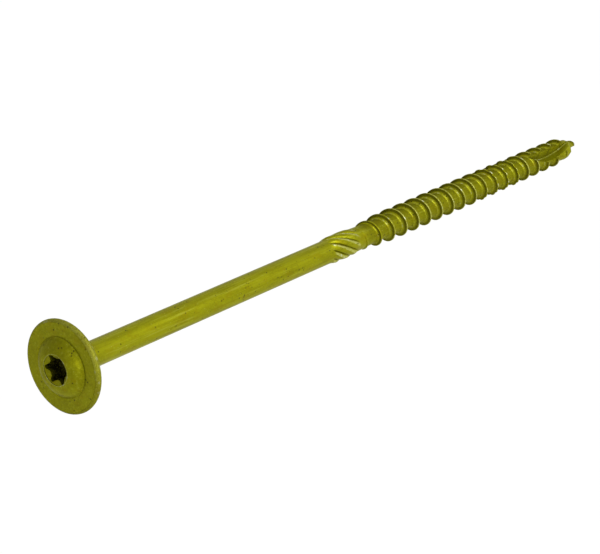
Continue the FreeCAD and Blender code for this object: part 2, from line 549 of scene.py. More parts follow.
@dataclass(frozen=True)
class HeadShadeHighlightAndWear:
    """Painted shade in the socket, on the rim, along the face's edge, in the groove at the dome's foot
    and on the upper side. A paler ring runs round the mouth, and painted highlights mixed with paler
    wear lie on the rim.
    """

    sizes: ScrewSizes = SIZES
    socket: SixLobeSocket = SixLobeSocket()
    # Painted shade in the socket starts a little below the mouth and is full deeper on the ridges than
    # in the lobes.
    dark_start: float = 0.2
    dark_edge: float = 0.15
    mouth_depth: float = 0.4
    mouth_ring: float = 0.07
    dark_ridges: float = 1.9
    dark_lobes: float = 1.2
    # Painted shade: a ring in the groove at the dome's foot, stronger towards its upper side; the upper
    # side of dome and neck; the whole rim; and a line along the face's edge on the side towards -Y.
    groove_middle: float = 0.1224
    groove_half: float = 0.16
    groove_shade: float = 0.25
    groove_shade_upper: float = 0.55
    groove_degrees: float = 30.0
    upper_shade: float = 0.42
    upper_degrees: float = -15.0
    upper_edge: float = 0.4
    rim_shade: float = 0.46
    edge_shade: float = 0.5
    # The rim is paler all round, and more on its upper side as a painted highlight.
    rim_highlight_and_wear: float = 0.25
    rim_highlight_upper: float = 0.15
    rim_degrees: float = 20.0

    @property
    def rim_edge(self) -> float:
        """Radius where the rounded rim begins."""
        return self.sizes.flange_radius - self.sizes.rim_round

    def socket_shade(self, point: Vector) -> float:
        """How much painted shade a point gets in the socket, 0 outside it.

        Args:
            point: Point of the mesh in screw millimetres.

        Returns:
            The value, from 0 to 1.
        """
        sizes = self.sizes
        radius = radius_of(point)
        depth = point.x - sizes.head_top
        bottom = sizes.socket_depth + self.socket.floor_drop + 0.1
        if depth > bottom or radius > self.socket.mouth - 0.01:
            return 0.0
        ridge = sizes.across_ridges / 2.0 + self.dark_edge
        lobe = share_between(ridge, sizes.across_lobes / 2.0, radius)
        full = self.dark_ridges * (1.0 - lobe) + self.dark_lobes * lobe
        return share_between(self.dark_start, full, depth)

    def painted_shade(self, point: Vector) -> float:
        """How much painted shade a point gets on the rim, along the face's edge, in the groove and on
        the upper side.

        Args:
            point: Point of the mesh in screw millimetres.

        Returns:
            The value, from 0 to 1.
        """
        radius = radius_of(point)
        angle = angle_of(point)
        if point.x > self.sizes.head_top + self.mouth_depth and radius < self.socket.mouth:
            return 0.0
        # Painted shade, set by where the point lies and which way it faces round the axis.
        if radius > self.rim_edge + 0.02:
            return self.rim_shade
        on_face = abs(point.x + self.sizes.flange_thickness) < 0.03
        if on_face and radius > self.rim_edge - 0.05:
            return self.edge_shade * max(0.0, math.sin(angle))
        foot = self.sizes.dome_radius
        ring = 0.0
        if point.x < -1.0:
            turned = max(0.0, math.cos(angle - math.radians(self.groove_degrees)))
            ring = max(0.0, 1.0 - abs(radius - foot - self.groove_middle) / self.groove_half)
            ring *= self.groove_shade + self.groove_shade_upper * turned
        upper = self.upper_shade * max(0.0, math.cos(angle - math.radians(self.upper_degrees)))
        return max(ring, upper * blend(foot + 0.05, foot - self.upper_edge, radius))

    def highlight_and_wear(self, point: Vector) -> float:
        """How much paler a point of the mouth's ring or the rim is: a pale ring round the mouth, and a
        rim paler all round with a painted highlight on its upper side.

        Args:
            point: Point of the mesh in screw millimetres.

        Returns:
            The value, from 0 to 1.
        """
        radius = radius_of(point)
        on_top = abs(point.x - self.sizes.head_top) < 0.02
        if on_top and radius < self.socket.mouth + self.mouth_ring:
            return 1.0
        if radius > self.rim_edge + 0.1:
            turned = math.cos(angle_of(point) - math.radians(self.rim_degrees))
            return self.rim_highlight_and_wear + self.rim_highlight_upper * turned
        return 0.0


@dataclass(frozen=True)
class HeadAndShank:
    """Washer head with its socket, the neck, the plain shank and the ribs.

    The pairs of the neck's fillet are a station and a distance out from the neck, and those of the
    groove at the dome's foot are a depth in the flange's face and a distance out from the foot.
    """

    sizes: ScrewSizes = SIZES
    socket: SixLobeSocket = SixLobeSocket()
    ribs: SlantedRibs = SlantedRibs()
    painted_light_and_wear: HeadShadeHighlightAndWear = HeadShadeHighlightAndWear()
    segments: int = 216
    sharp_degrees: float = 38.0
    shank_shares: tuple[float, ...] = (0.02, 0.2, 0.4, 0.6, 0.8)
    neck_steps: int = 8
    neck_flare: float = 1.15
    neck_foot: float = 0.25
    neck_fillet: tuple[Pair, ...] = ((0.07, 0.09), (0.0, 0.27))
    rim_steps: int = 16
    rim_gap_back: float = 0.1
    rim_gap_front: float = 0.12
    dome_steps: int = 20
    dome_bulge: float = 0.33
    lip: float = 0.15
    mouth_land: float = 0.06
    mouth_edge: float = 0.015
    groove_profile: tuple[Pair, ...] = (
        (0.0, 0.64), (0.0, 0.34), (0.081, 0.2108), (0.09, 0.1224), (0.054, 0.05), (0.0, 0.0))

    def neck(self, stack: RingStack) -> None:
        """Adds the neck, flaring into the underside of the flange.

        Args:
            stack: The stack to add to.
        """
        sizes = self.sizes
        for index in range(self.neck_steps + 1):
            share = index / self.neck_steps
            widened = (sizes.neck_radius - sizes.shank_radius) * share ** self.neck_flare
            x = sizes.neck_length * (1.0 - share) + self.neck_foot * share
            stack.round(x, sizes.shank_radius + widened)
        for x, outward in self.neck_fillet:
            stack.round(x, sizes.neck_radius + outward)
        stack.round(0.0, sizes.flange_radius - sizes.rim_round - self.rim_gap_back)

    def rim(self, stack: RingStack) -> None:
        """Adds the fully rounded rim of the flange.

        Args:
            stack: The stack to add to.
        """
        sizes = self.sizes
        half = sizes.flange_thickness / 2.0
        sweep = (half ** 2 + sizes.rim_round ** 2) / (2.0 * sizes.rim_round)
        reach = math.asin(half / sweep)
        for index in range(self.rim_steps + 1):
            angle = reach * (1.0 - 2.0 * index / self.rim_steps)
            radius = sizes.flange_radius - sweep * (1.0 - math.cos(angle))
            stack.round(-half + sweep * math.sin(angle), radius)

    def dome(self, stack: RingStack) -> None:
        """Adds the flat front of the flange, the dome and the lip round the mouth.

        Args:
            stack: The stack to add to.
        """
        sizes = self.sizes
        front = -sizes.flange_thickness
        foot = sizes.dome_radius
        stack.round(front, sizes.flange_radius - sizes.rim_round - self.rim_gap_front)
        for deep, outward in self.groove_profile:
            stack.round(front + deep, foot + outward)
        crown = self.socket.mouth + self.lip
        mid_x = (front + sizes.head_top) / 2.0 - self.dome_bulge
        mid_r = (foot + crown) / 2.0 + self.dome_bulge
        centre, radius = circle_through((front, foot), (mid_x, mid_r), (sizes.head_top, crown))
        first = math.atan2(foot - centre[1], front - centre[0])
        last = math.atan2(crown - centre[1], sizes.head_top - centre[0])
        if last < first:
            last += TAU
        for index in range(1, self.dome_steps + 1):
            angle = first + (last - first) * index / self.dome_steps
            stack.round(centre[0] + radius * math.cos(angle), centre[1] + radius * math.sin(angle))
        stack.round(sizes.head_top, self.socket.mouth + self.mouth_land)
        stack.round(sizes.head_top + self.mouth_edge, self.socket.mouth + self.mouth_edge)

    def build(self, seat: Seat) -> bpy.types.Object:
        """Builds the piece.

        Args:
            seat: Where the screw lies.

        Returns:
            The finished head and shank.
        """
        sizes = self.sizes
        stack = RingStack("head_and_shank", self.segments)
        stack.begin(sizes.thread_start, sizes.core_at(sizes.thread_start))
        stack.round(sizes.rib_end, sizes.collar_radius)
        self.ribs.grow(stack)
        for share in self.shank_shares:
            x = sizes.rib_start + (sizes.neck_length - sizes.rib_start) * share
            stack.round(x, sizes.shank_radius)
        self.neck(stack)
        self.rim(stack)
        self.dome(stack)
        self.socket.grow(stack)
        stack.mark(Region.SOCKET_SHADE, self.painted_light_and_wear.socket_shade)
        stack.mark(Region.SHADE, self.painted_shade)
        stack.mark(Region.HIGHLIGHT_AND_WEAR, self.highlight_and_wear)
        return stack.finish(seat, self.sharp_degrees)

    def painted_shade(self, point: Vector) -> float:
        """How much painted shade a point gets."""
        return self.ribs.groove(point) if point.x > self.sizes.neck_length else self.painted_light_and_wear.painted_shade(point)

    def highlight_and_wear(self, point: Vector) -> float:
        """How much paler a point is, by painted highlight or wear."""
        return self.ribs.painted_highlight(point) if point.x > self.sizes.neck_length else self.painted_light_and_wear.highlight_and_wear(point)


def circle_through(one: Pair, two: Pair, three: Pair) -> tuple[Pair, float]:
    """Circle through three points of a plane.

    Args:
        one: First point.
        two: Second point.
        three: Third point.

    Returns:
        Its centre and radius.
    """
    ax, ay = one
    bx, by = two
    cx, cy = three
    det = 2.0 * (ax * (by - cy) + bx * (cy - ay) + cx * (ay - by))
    sa, sb, sc = ax * ax + ay * ay, bx * bx + by * by, cx * cx + cy * cy
    ux = (sa * (by - cy) + sb * (cy - ay) + sc * (ay - by)) / det
    uy = (sa * (cx - bx) + sb * (ax - cx) + sc * (bx - ax)) / det
    return (ux, uy), math.hypot(ax - ux, ay - uy)


@dataclass(frozen=True)
class ThreadShadeAndHighlight:
    """Painted shade on the flanks and roots between the turns, strongest towards the head and on the
    upper side. It adds a darkening towards the point, a painted highlight at the flanks' foot, and the
    share of height above which the crest's pale line lies.
    """

    # Painted shade is strongest on the head's side of the flanks, more on the upper side, and weaker on
    # the tip's side.
    head_side: float = 0.8
    head_side_upper: float = 0.2
    tip_side: float = 0.55
    flank_shade: float = 1.15
    flank_rise: Pair = (0.15, 0.7)
    flank_fall: Pair = (0.88, 0.96)
    root_shade: float = 0.42
    root_upper: float = 0.2
    point_darkening: float = 0.3
    foot_highlight: float = 0.38
    foot_rise: Pair = (0.02, 0.08)
    foot_fall: Pair = (0.15, 0.25)
    crest_share: float = 0.9

    def side(self, off: float, angle: float) -> float:
        """How strongly a flank gets painted shade, most on the side towards the head and uppermost."""
        return self.head_side + self.head_side_upper * math.cos(angle) if off < 0.0 else self.tip_side

    def painted_shade(self, share: float, angle: float, side: float, into_nose: float) -> float:
        """How much painted shade a point gets, with a darkening towards the point.

        Args:
            share: Share of the thread's height at the point.
            angle: Angle round the axis in radians.
            side: How strongly its flank is marked.
            into_nose: How far the point lies into the nose, from 0 to 1.

        Returns:
            The larger of the flank's and the root's painted shade.
        """
        flank = self.flank_shade * band(self.flank_rise, self.flank_fall, share)
        root = (self.root_shade + self.root_upper * math.cos(angle)) * (1.0 - blend(0.0, 0.03, share))
        return max(flank * side, root + self.point_darkening * into_nose)

    def highlight_and_wear(self, share: float) -> float:
        """How much painted highlight a point of the flank's foot gets."""
        return self.foot_highlight * band(self.foot_rise, self.foot_fall, share)


@dataclass(frozen=True)
class ThreadedEnd:
    """Core with its coarse right-hand thread, the flute and the cut point.

    Each pair of the thread's outline is a place along the axis and a share of the thread's height.
    The crest's places are shares of its half width, and the root's are counted from the flank's foot.
    """

    sizes: ScrewSizes = SIZES
    painted_light_and_wear: ThreadShadeAndHighlight = ThreadShadeAndHighlight()
    per_turn: int = 84
    crest_width: float = 0.34
    crest_profile: tuple[Pair, ...] = ((0.55, 1.0), (0.86, 0.99))
    crest_edge: Pair = (0.015, 0.96)
    flank_shares: tuple[float, ...] = (0.87, 0.7, 0.52, 0.36)
    root_profile: tuple[Pair, ...] = (
        (-0.08, 0.24), (0.0, 0.15), (0.11, 0.08), (0.25, 0.03), (0.42, 0.006), (0.6, 0.0), (0.9, 0.0))
    flank_degrees: float = 19.0
    run_in: float = 14.5
    first_share: float = 0.18
    fall_length: float = 8.8
    fall_slope: float = 0.4
    thread_end_gap: float = 5.2
    tip_cut: float = 0.01
    end_fade: Pair = (0.2, 0.5)
    notch_from: float = 50.0
    notch_to: float = 29.0
    notch_ease: float = 2.0
    notch_depth: float = 0.2
    notch_per_turn: int = 12
    cheek_length: float = 6.0
    cheek_rise: float = 0.55
    cheek_swell: float = 0.33
    cheek_shift: float = 0.25
    flute_wheel: float = 20.0
    flute_segments: int = 240
    flute_rim: float = 3.0
    flute_stations: tuple[float, ...] = (0.0, 0.18, 0.4)
    # Painted highlight along the flute's valley and painted shade on its flat wall.
    valley_line: float = 0.16
    wall_line: float = 0.35
    wall_shade: float = 0.9
    flute_centre: float = 14.6
    flute_past_axis: float = 0.5
    flute_turn: float = 21.0
    flute_open: float = 68.0
    beak_length: float = 4.1
    beak_half: float = 0.6
    beak_slope: float = 50.0
    beak_turn: float = 147.0
    blank_degrees: float = 35.0
    cutter_degrees: float = 30.0
    cut_degrees: float = 32.0

    @property
    def slope(self) -> float:
        """Offset of the flank along the axis for each millimetre of height."""
        return math.tan(math.radians(self.flank_degrees))

    @property
    def full_height(self) -> float:
        """Height of the thread over the core where it is fully grown."""
        return self.sizes.thread_radius - self.sizes.core_radius

    def station(self, angle: float) -> float:
        """Station of the thread at an angle in radians counted along its turns."""
        turn = math.radians(self.sizes.thread_turn)
        return self.sizes.length + self.sizes.thread_pitch * (angle - turn) / TAU

    def nose_radius(self, x: float) -> float:
        """Radius of the plain core down to the rounded point.

        Args:
            x: Station on the screw.

        Returns:
            The radius without the swollen side.
        """
        sizes = self.sizes
        nose = sizes.length - sizes.point_length
        neck = nose + sizes.point_step
        edge = sizes.length - sizes.point_round
        if x <= nose:
            return sizes.core_at(x)
        if x <= neck:
            lower = sizes.point_radius - sizes.core_at(nose)
            return sizes.core_at(nose) + lower * (x - nose) / sizes.point_step
        if x <= edge:
            lower = sizes.point_edge - sizes.point_radius
            return sizes.point_radius + lower * (x - neck) / (edge - neck)
        left = max(0.0, sizes.length - x) / sizes.point_round
        return sizes.point_edge * math.sqrt(max(0.0, 1.0 - (1.0 - left) ** 2.0))

    def cheek_radius(self, x: float, angle: float) -> float:
        """Radius of the swollen side before the beak, whose own axis lies off the screw's.

        Args:
            x: Station on the screw.
            angle: Angle round the axis in radians.

        Returns:
            Its distance from the screw's axis, or 0 where it has none.
        """
        sizes = self.sizes
        nose = sizes.length - sizes.point_length
        start = nose - self.cheek_length
        low = sizes.core_at(start) - self.cheek_shift
        wide = sizes.core_at(nose) + self.cheek_swell
        own = low + (wide - low) * blend(start, start + self.cheek_length * self.cheek_rise, x)
        own += (sizes.point_radius - wide) * share_between(nose, nose + sizes.point_step, x)
        if not start < x < nose + sizes.point_step:
            return 0.0
        off = angle - math.radians(self.beak_turn)
        across = self.cheek_shift * math.sin(off)
        return self.cheek_shift * math.cos(off) + math.sqrt(max(0.0, own ** 2 - across ** 2))

    def core_at(self, x: float, angle: float) -> float:
        """Radius of the core at a station and an angle, with the swollen side."""
        return max(self.nose_radius(x), self.cheek_radius(x, angle))

    def crest_at(self, x: float, angle: float) -> float:
        """Radius of the crest at a station and an angle in radians.

        Args:
            x: Station on the screw.
            angle: Angle round the axis in radians.

        Returns:
            The radius, never less than the core's.
        """
        sizes = self.sizes
        into = share_between(sizes.thread_start, sizes.thread_start + self.run_in, x)
        share = self.first_share + (1.0 - self.first_share) * math.sin(TAU / 4.0 * into)
        radius = sizes.core_radius + self.full_height * share
        radius -= sizes.end_drop * share_between(sizes.length - sizes.end_taper, sizes.length, x)
        radius -= self.fall_slope * max(0.0, x - (sizes.length - self.fall_length))
        radius -= self.notch_at(x, angle)
        end = sizes.length - self.thread_end_gap
        fade = 1.0 - blend(end - self.end_fade[0], end + self.end_fade[1], x)
        core = self.core_at(x, angle)
        return core + max(0.0, radius - core) * fade

    def notch_at(self, x: float, angle: float) -> float:
        """Depth of the small notches in the crest of some turns.

        Args:
            x: Station on the screw.
            angle: Angle round the axis in radians.

        Returns:
            The depth in millimetres.
        """
        first = self.sizes.length - self.notch_from
        last = self.sizes.length - self.notch_to
        inside = band((first, first + self.notch_ease), (last - self.notch_ease, last), x)
        return inside * self.notch_depth * (0.5 - 0.5 * math.cos(angle * self.notch_per_turn)) ** 2

    def profile(self) -> list[Pair]:
        """Outline of one pitch: offset along the axis and share of the thread's height.

        Returns:
            The points of the outline from the head's side to the tip's.
        """
        half_top = self.crest_width / 2.0
        flank = self.full_height * self.slope
        right = [(half_top * wide, share) for wide, share in self.crest_profile]
        right.append((half_top + self.crest_edge[0], self.crest_edge[1]))
        right += [(half_top + (1.0 - share) * flank, share) for share in self.flank_shares]
        right += [(half_top + flank + outward, share) for outward, share in self.root_profile]
        right.append((self.sizes.thread_pitch / 2.0, 0.0))
        left = [(-offset, share) for offset, share in reversed(right)]
        return left + [(0.0, 1.0)] + right

    def turned_profile(self, piece: MeshPiece) -> None:
        """Spins the outline of one pitch along the whole thread, one strip for each turn.

        Args:
            piece: The empty piece to fill.
        """
        sizes = self.sizes
        first = math.radians(sizes.thread_turn)
        turns = math.ceil(sizes.thread_length / sizes.thread_pitch) + 2
        start_x = sizes.length - sizes.thread_pitch * (turns - 1)
        layer = piece.layers[Region.CREST]
        previous = None
        edges = []
        verts = []
        for offset, share in self.profile():
            vert = piece.bm.verts.new(spot(start_x + offset, sizes.core_radius, first))
            vert[layer] = share
            verts.append(vert)
            if previous is not None:
                edges.append(piece.bm.edges.new((previous, vert)))
            previous = vert
        bmesh.ops.spin(piece.bm, geom=verts + edges, cent=(0, 0, 0), axis=(1, 0, 0),
                       dvec=(sizes.thread_pitch / self.per_turn, 0, 0), angle=TAU,
                       steps=self.per_turn, use_duplicate=False)
        one_turn = list(piece.bm.verts) + list(piece.bm.edges) + list(piece.bm.faces)
        for number in range(1, turns):
            made = bmesh.ops.duplicate(piece.bm, geom=one_turn)["geom"]
            moved = [item for item in made if isinstance(item, bmesh.types.BMVert)]
            bmesh.ops.translate(piece.bm, verts=moved, vec=(sizes.thread_pitch * number, 0.0, 0.0))
        bmesh.ops.remove_doubles(piece.bm, verts=piece.bm.verts, dist=0.001)

    def offset_at(self, point: Vector) -> float:
        """Distance along the axis of a point from the middle of the nearest crest.

        Args:
            point: Point of the mesh in screw millimetres.

        Returns:
            The distance, negative towards the head.
        """
        pitch = self.sizes.thread_pitch
        middle = self.station(angle_of(point))
        return (point.x - middle + pitch / 2.0) % pitch - pitch / 2.0

    def shape(self, piece: MeshPiece) -> None:
        """Gives each point the radius and the place that its share of the thread's height asks for.

        Args:
            piece: The turned thread.
        """
        crest_layer = piece.layers[Region.CREST]
        shade_layer = piece.layers[Region.SHADE]
        highlight_and_wear_layer = piece.layers[Region.HIGHLIGHT_AND_WEAR]
        flank = self.full_height * self.slope
        half_root = self.crest_width / 2.0 + flank
        flat = self.root_profile[-1][0]
        tip = self.sizes.length
        nose = tip - self.sizes.point_length
        for vert in piece.bm.verts:
            share = vert[crest_layer]
            x = vert.co.x
            angle = angle_of(vert.co)
            off = self.offset_at(vert.co)
            core = self.core_at(x, angle)
            height = self.crest_at(x, angle) - core
            grown = min(1.0, max(0.0, height / self.full_height))
            pull = (1.0 - share) * (1.0 - blend(half_root + 0.2, half_root + flat, abs(off)))
            x -= math.copysign(pull * (1.0 - grown) * flank, off)
            vert.co = spot(x, max(0.02, core + height * share), angle)
            # Painted shade between the turns, a darkening towards the point, a painted highlight at the
            # flanks' foot, and the crest's pale line, partly wear and partly painted highlight.
            side = self.painted_light_and_wear.side(off, angle)
            painted_shade = self.painted_light_and_wear.painted_shade(share, angle, side, blend(nose, tip, x))
            vert[shade_layer] = painted_shade * max(blend(nose, nose + 1.0, x), blend(0.0, 0.35, grown))
            vert[highlight_and_wear_layer] = self.painted_light_and_wear.highlight_and_wear(share) * side * grown
            vert[crest_layer] = share * grown if share > self.painted_light_and_wear.crest_share else 0.0

    def trim(self, piece: MeshPiece) -> None:
        """Cuts both ends square and closes them.

        Args:
            piece: The shaped thread.
        """
        last = self.sizes.length - self.tip_cut
        for x, outward in ((self.sizes.thread_start, -1.0), (last, 1.0)):
            geom = list(piece.bm.verts) + list(piece.bm.edges) + list(piece.bm.faces)
            bmesh.ops.bisect_plane(piece.bm, geom=geom, dist=1e-5, plane_co=(x, 0, 0),
                                   plane_no=(outward, 0, 0), clear_outer=True)
            rim = [edge for edge in piece.bm.edges if edge.is_boundary
                   and all(abs(vert.co.x - x) < 1e-3 for vert in edge.verts)]
            bmesh.ops.contextual_create(piece.bm, geom=rim)

    def flute_cutter(self, seat: Seat) -> bpy.types.Object:
        """Wheel that cuts the flute: one flat radial wall and one hollow wall.

        Args:
            seat: Where the screw lies.

        Returns:
            The closed cutter.
        """
        thick = self.sizes.thread_radius + 1.0
        shrink = thick / math.tan(math.radians(self.flute_open))
        wheel = self.flute_wheel
        cutter = RingStack("flute_wheel", self.flute_segments)
        cutter.begin(0.0, wheel - self.flute_rim)
        cutter.round(0.0, wheel - self.wall_line)
        for x in self.flute_stations + (thick,):
            cutter.round(x, wheel - shrink * x / thick)
        cutter.close()
        # Painted highlight along the valley line and painted shade on the flat radial wall.
        valley = wheel - self.valley_line
        wall = wheel - 0.1
        cutter.mark(Region.HIGHLIGHT_AND_WEAR, lambda point: float(radius_of(point) > valley))
        cutter.mark(Region.SHADE, lambda point: self.wall_shade * float(
            point.x < 0.01 and radius_of(point) < wall))
        stand = Matrix.Rotation(-TAU / 4.0, 4, "Z")
        lift = Matrix.Translation((self.sizes.length - self.flute_centre, 0.0,
                                   self.flute_wheel - self.flute_past_axis))
        turn = Matrix.Rotation(math.radians(self.flute_turn), 4, "X")
        bmesh.ops.transform(cutter.bm, matrix=turn @ lift @ stand, verts=cutter.bm.verts)
        return cutter.finish(seat, self.cutter_degrees)

    def beak_cutter(self, seat: Seat) -> bpy.types.Object:
        """Block that takes away one side of the last few millimetres.

        Args:
            seat: Where the screw lies.

        Returns:
            The closed cutter.
        """
        cutter = MeshPiece("beak_block")
        bmesh.ops.create_cube(cutter.bm, size=1.0)
        back = self.sizes.length - self.beak_length
        reach = self.sizes.thread_radius
        lean = reach / math.tan(math.radians(self.beak_slope))
        for vert in cutter.bm.verts:
            high = vert.co.z > 0.0
            x = self.sizes.length + 1.0 if vert.co.x > 0.0 else back - (lean if high else 0.0)
            z = self.beak_half + (reach if high else 0.0)
            vert.co = Vector((x, vert.co.y * 4.0 * reach, z))
        turn = Matrix.Rotation(math.radians(self.beak_turn), 4, "X")
        bmesh.ops.transform(cutter.bm, matrix=turn, verts=cutter.bm.verts)
        return cutter.finish(seat, self.cutter_degrees)

    def build(self, seat: Seat) -> bpy.types.Object:
        """Builds the threaded end and cuts its flute and beak.

        Args:
            seat: Where the screw lies.

        Returns:
            The finished threaded end.
        """
        piece = MeshPiece("threaded_end")
        self.turned_profile(piece)
        self.shape(piece)
        self.trim(piece)
        blank = piece.finish(seat, self.blank_degrees)
        return cut_away(blank, [self.flute_cutter(seat), self.beak_cutter(seat)], self.cut_degrees)


def cut_away(blank: bpy.types.Object, cutters: list[bpy.types.Object],
             sharp_degrees: float) -> bpy.types.Object:
    """Cuts shapes out of a piece and removes the cutters.

    Args:
        blank: The closed piece to cut.
        cutters: Closed shapes to take away from it.
        sharp_degrees: Edges bent more than this stay sharp.

    Returns:
        The cut piece.
    """
    for cutter in cutters:
        modifier = blank.modifiers.new(cutter.name, "BOOLEAN")
        modifier.operation = "DIFFERENCE"
        modifier.solver = "MANIFOLD"
        modifier.object = cutter
    graph = bpy.context.evaluated_depsgraph_get()
    mesh = bpy.data.meshes.new_from_object(blank.evaluated_get(graph))
    name = blank.name
    for old in [blank] + cutters:
        old_mesh = old.data
        bpy.data.objects.remove(old)
        bpy.data.meshes.remove(old_mesh)
    return dress_smooth(name, mesh, sharp_degrees)


class Shade:
    """A shader socket that takes part in Python arithmetic."""

    def __init__(self, tree: "ShaderTree", socket: bpy.types.NodeSocket) -> None:
        """Wraps a socket of a tree."""
        self.tree = tree
        self.socket = socket

    def math(self, operation: str, *others: "Shade | Number") -> "Shade":
        """Adds a Math node whose first value is this one."""
        return self.tree.add("ShaderNodeMath", {"operation": operation}, self, *others)

    def __add__(self, other: "Shade | Number") -> "Shade":
        """Sum."""
        return self.math("ADD", other)

    def __mul__(self, other: "Shade | Number") -> "Shade":
        """Product."""
        return self.math("MULTIPLY", other)

    def __sub__(self, other: "Shade | Number") -> "Shade":
        """Difference."""
        return self.math("SUBTRACT", other)

    def __rsub__(self, other: Number) -> "Shade":
        """Difference from a number."""
        return self.tree.add("ShaderNodeMath", {"operation": "SUBTRACT"}, other, self)

    __radd__ = __add__
    __rmul__ = __mul__

    def between(self, low: float, high: float) -> "Shade":
        """Rises smoothly from 0 at low to 1 at high."""
        smooth = {"interpolation_type": "SMOOTHSTEP"}
        return self.tree.add("ShaderNodeMapRange", smooth, self, low, high, 0.0, 1.0)


class ShaderTree:
    """Builds one node tree."""

    def __init__(self, tree: bpy.types.NodeTree) -> None:
        """Takes over an empty tree."""
        self.tree = tree
        tree.nodes.clear()

    def add(self, kind: str, settings: Optional[dict[str, Any]] = None, *values: Any, output: Any = 0,
            **named: Any) -> Shade:
        """Adds a node.

        Args:
            kind: The node's type.
            settings: Properties to set before its sockets.
            values: Values or links of its sockets, in order.
            output: Index or name of the output to return.
            named: Values or links of sockets by name, with _ for a space.

        Returns:
            The chosen output.
        """
        node = self.tree.nodes.new(kind)
        for key, value in (settings or {}).items():
            setattr(node, key, value)
        for index, value in enumerate(values):
            self.plug(node.inputs[index], value)
        for key, value in named.items():
            self.plug(node.inputs[key.replace("_", " ")], value)
        return Shade(self, node.outputs[output])

    def plug(self, socket: bpy.types.NodeSocket, value: Any) -> None:
        """Sets or links one socket.

        Args:
            socket: The socket.
            value: A link, a constant or None to leave it.
        """
        if isinstance(value, Shade):
            self.tree.links.new(value.socket, socket)
        elif value is not None:
            socket.default_value = value

    def end(self, kind: str, surface: Shade) -> None:
        """Adds the output node of a material or a world and links its surface."""
        self.plug(self.tree.nodes.new(kind).inputs["Surface"], surface)

    def mix(self, factor: "Shade | Number", first: Any, second: Any) -> Shade:
        """Mixes two colours.

        Args:
            factor: Share of the second colour.
            first: First colour.
            second: Second colour.

        Returns:
            The mixed colour.
        """
        node = self.tree.nodes.new("ShaderNodeMix")
        node.data_type = "RGBA"
        self.plug(node.inputs[0], factor)
        self.plug(node.inputs[6], first)
        self.plug(node.inputs[7], second)
        return Shade(self, node.outputs[2])


Colour = tuple[float, float, float, float]
WHITE: Colour = (1.0, 1.0, 1.0, 1.0)


@dataclass(frozen=True)
class Grain:
    """A noise over the screw: stretch along its axis, cells for each millimetre and octaves."""

    stretch: float
    scale: float
    detail: float
    rough: float = 0.6

    def on(self, tree: ShaderTree, place: Shade) -> Shade:
        """Adds the noise.

        Args:
            tree: The tree to add to.
            place: Place on the screw in its own millimetres.

        Returns:
            The noise's value, about 0.3 to 0.7.
        """
        still = (0.0, 0.0, 0.0)
        mapped = tree.add("ShaderNodeMapping", None, place, still, still, (self.stretch, 1.0, 1.0))
        return tree.add("ShaderNodeTexNoise", None, Vector=mapped, Scale=self.scale,
                        Detail=self.detail, Roughness=self.rough)


@dataclass(frozen=True)
class Specks:
    """Round specks over the screw: cells for each millimetre and the size of a speck in its cell."""

    scale: float
    size: float

    def on(self, tree: ShaderTree, place: Shade) -> Shade:
        """Adds the specks: 1 in a speck, 0 between them."""
        cells = tree.add("ShaderNodeTexVoronoi", {"feature": "F1"}, Vector=place, Scale=self.scale)
        return 1.0 - cells.between(self.size * 0.5, self.size)


